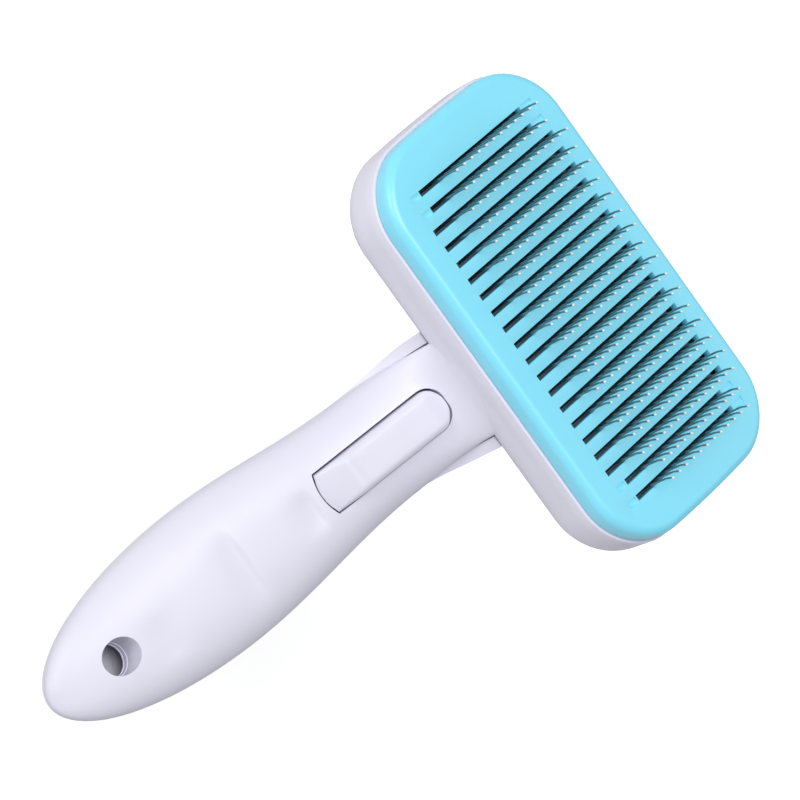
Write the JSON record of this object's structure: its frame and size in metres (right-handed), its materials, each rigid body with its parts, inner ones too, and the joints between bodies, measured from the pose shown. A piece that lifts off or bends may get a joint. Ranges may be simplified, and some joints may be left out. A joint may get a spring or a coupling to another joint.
{
  "type": "slicker brush",
  "caption": "Self-cleaning pet slicker brush: rectangular head of bent wire pins on an angled handle with a thumb button that retracts the pins.",
  "frame": {"origin": "centre of the face plate's front face, on the rib between the two middle slots", "axes": "+X along the head's long side, +Y from the handle to the head, +Z out of the face plate on the pin side"},
  "size_m": [0.1028, 0.1576, 0.0735],
  "materials": {
    "white_shell": "satin",
    "blue_face": "satin",
    "white_inner": "matte",
    "grey_pad": "matte",
    "pin_steel": "polished",
    "screw_steel": "satin",
    "spring_steel": "satin"
  },
  "bodies": {
    "housing": {"front_shell": "white_shell", "back_shell": "white_shell", "face_plate": "blue_face", "hinge_pin": "screw_steel", "return_spring": "spring_steel", "face_screw_1": "screw_steel", "face_screw_2": "screw_steel", "face_screw_3": "screw_steel", "face_screw_4": "screw_steel", "handle_screw_1": "screw_steel", "handle_screw_2": "screw_steel"},
    "lever": {"lever": "white_inner", "button": "white_shell"},
    "carrier": {"pin_board": "white_inner", "pin_pad": "grey_pad", "back_cover": "white_shell", "pin_row_01": "pin_steel", "pin_row_02": "pin_steel", "pin_row_03": "pin_steel", "pin_row_04": "pin_steel", "pin_row_05": "pin_steel", "pin_row_06": "pin_steel", "pin_row_07": "pin_steel", "pin_row_08": "pin_steel", "pin_row_09": "pin_steel", "pin_row_10": "pin_steel", "pin_row_11": "pin_steel", "pin_row_12": "pin_steel", "pin_row_13": "pin_steel", "pin_row_14": "pin_steel", "pin_row_15": "pin_steel", "pin_row_16": "pin_steel", "pin_row_17": "pin_steel", "pin_row_18": "pin_steel", "pin_row_19": "pin_steel", "pin_row_20": "pin_steel"}
  },
  "joints": [
    {"name": "pin_retract", "type": "slide", "parent": "housing", "child": "carrier", "axis": [0, 0, -1], "range_m": [0, 0.0094], "stiffness_N_per_m": 440, "springref_m": -0.0035},
    {"name": "button_press", "type": "hinge", "parent": "housing", "child": "lever", "pos_m": [0, -0.063, -0.0358], "axis": [-1, 0, 0], "range_deg": [0, 9.25], "deforming": ["return_spring"]}
  ],
  "couplings": [
    {"joint": "button_press", "follows": "pin_retract", "rad_per_m": 17.065}
  ]
}
